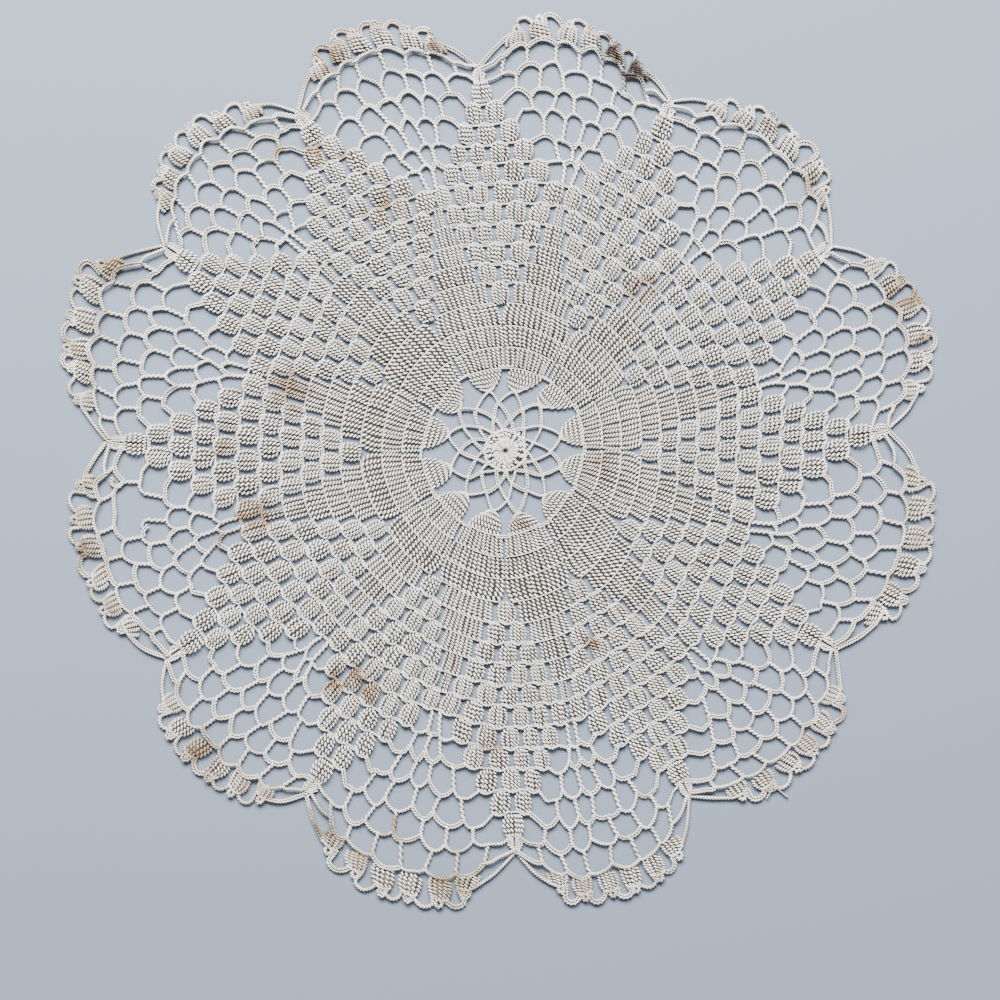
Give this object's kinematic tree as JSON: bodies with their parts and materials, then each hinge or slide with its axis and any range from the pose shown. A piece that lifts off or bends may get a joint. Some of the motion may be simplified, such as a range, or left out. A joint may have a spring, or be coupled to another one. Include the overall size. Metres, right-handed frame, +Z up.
{
  "type": "lace doily",
  "caption": "Flat round crocheted lace doily with a scalloped edge, a centre rosette, solid fans, checkered blocks and open chain net.",
  "frame": {"origin": "on the table under the middle of the centre rosette, at the underside of the lace", "axes": "+Z up out of the table, +Y towards the top of the doily as it lies, +X to its right"},
  "size_m": [0.3194, 0.3268, 0.0018],
  "materials": {
    "crochet_cotton": "matt, hand-crocheted cotton thread, aged and unevenly stained"
  },
  "bodies": {
    "root": {"doily": "crochet_cotton"}
  },
  "joints": []
}
